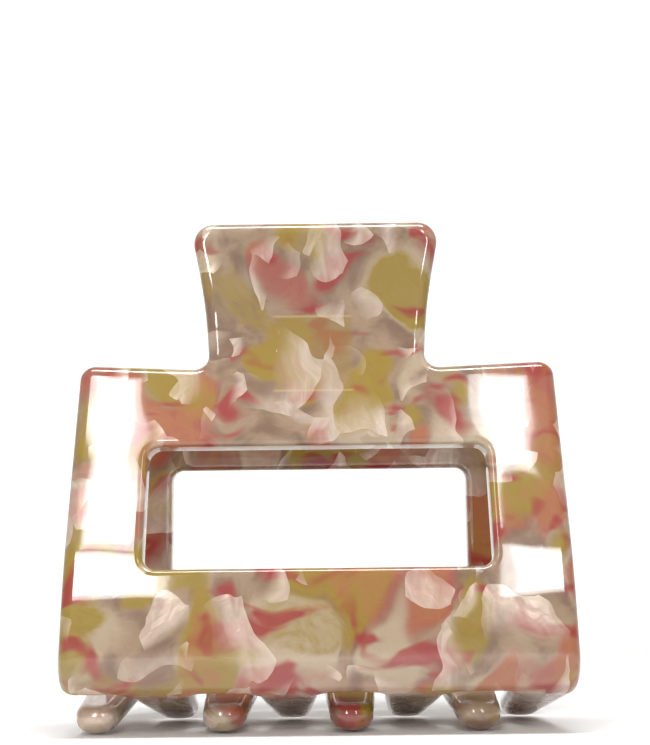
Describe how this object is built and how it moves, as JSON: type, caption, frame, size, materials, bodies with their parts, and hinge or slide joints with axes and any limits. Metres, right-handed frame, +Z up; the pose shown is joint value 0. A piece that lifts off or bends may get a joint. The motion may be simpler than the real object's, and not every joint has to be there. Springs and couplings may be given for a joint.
{
  "type": "hair claw clip",
  "caption": "Wide hair claw clip: two bent sheet jaws with windows, interlocking teeth and finger tabs on a sprung hinge.",
  "frame": {"origin": "on the surface the clip stands on, midway between the jaws and midway along the hinge pin", "axes": "+Z up from the teeth to the finger tabs, +X along the hinge pin, -Y towards the front jaw"},
  "size_m": [0.076, 0.0348, 0.0791],
  "materials": {
    "acetate": "polished, pearly, mottled",
    "steel": "satin",
    "spring_steel": "bright drawn wire"
  },
  "bodies": {
    "front": {"front_jaw": "acetate", "front_hinge_bracket": "steel", "front_bracket_rivets": "steel", "hinge_pin": "steel", "return_spring": "spring_steel"},
    "rear": {"rear_jaw": "acetate", "rear_hinge_bracket": "steel", "rear_bracket_rivets": "steel"}
  },
  "joints": [
    {"name": "jaw_hinge", "type": "hinge", "parent": "front", "child": "rear", "pos_m": [0, 0, 0.0595], "axis": [1, 0, 0], "range_deg": [0, 50], "stiffness_Nm_per_rad": 0.1, "springref_deg": -68.75, "deforming": ["return_spring"]}
  ]
}
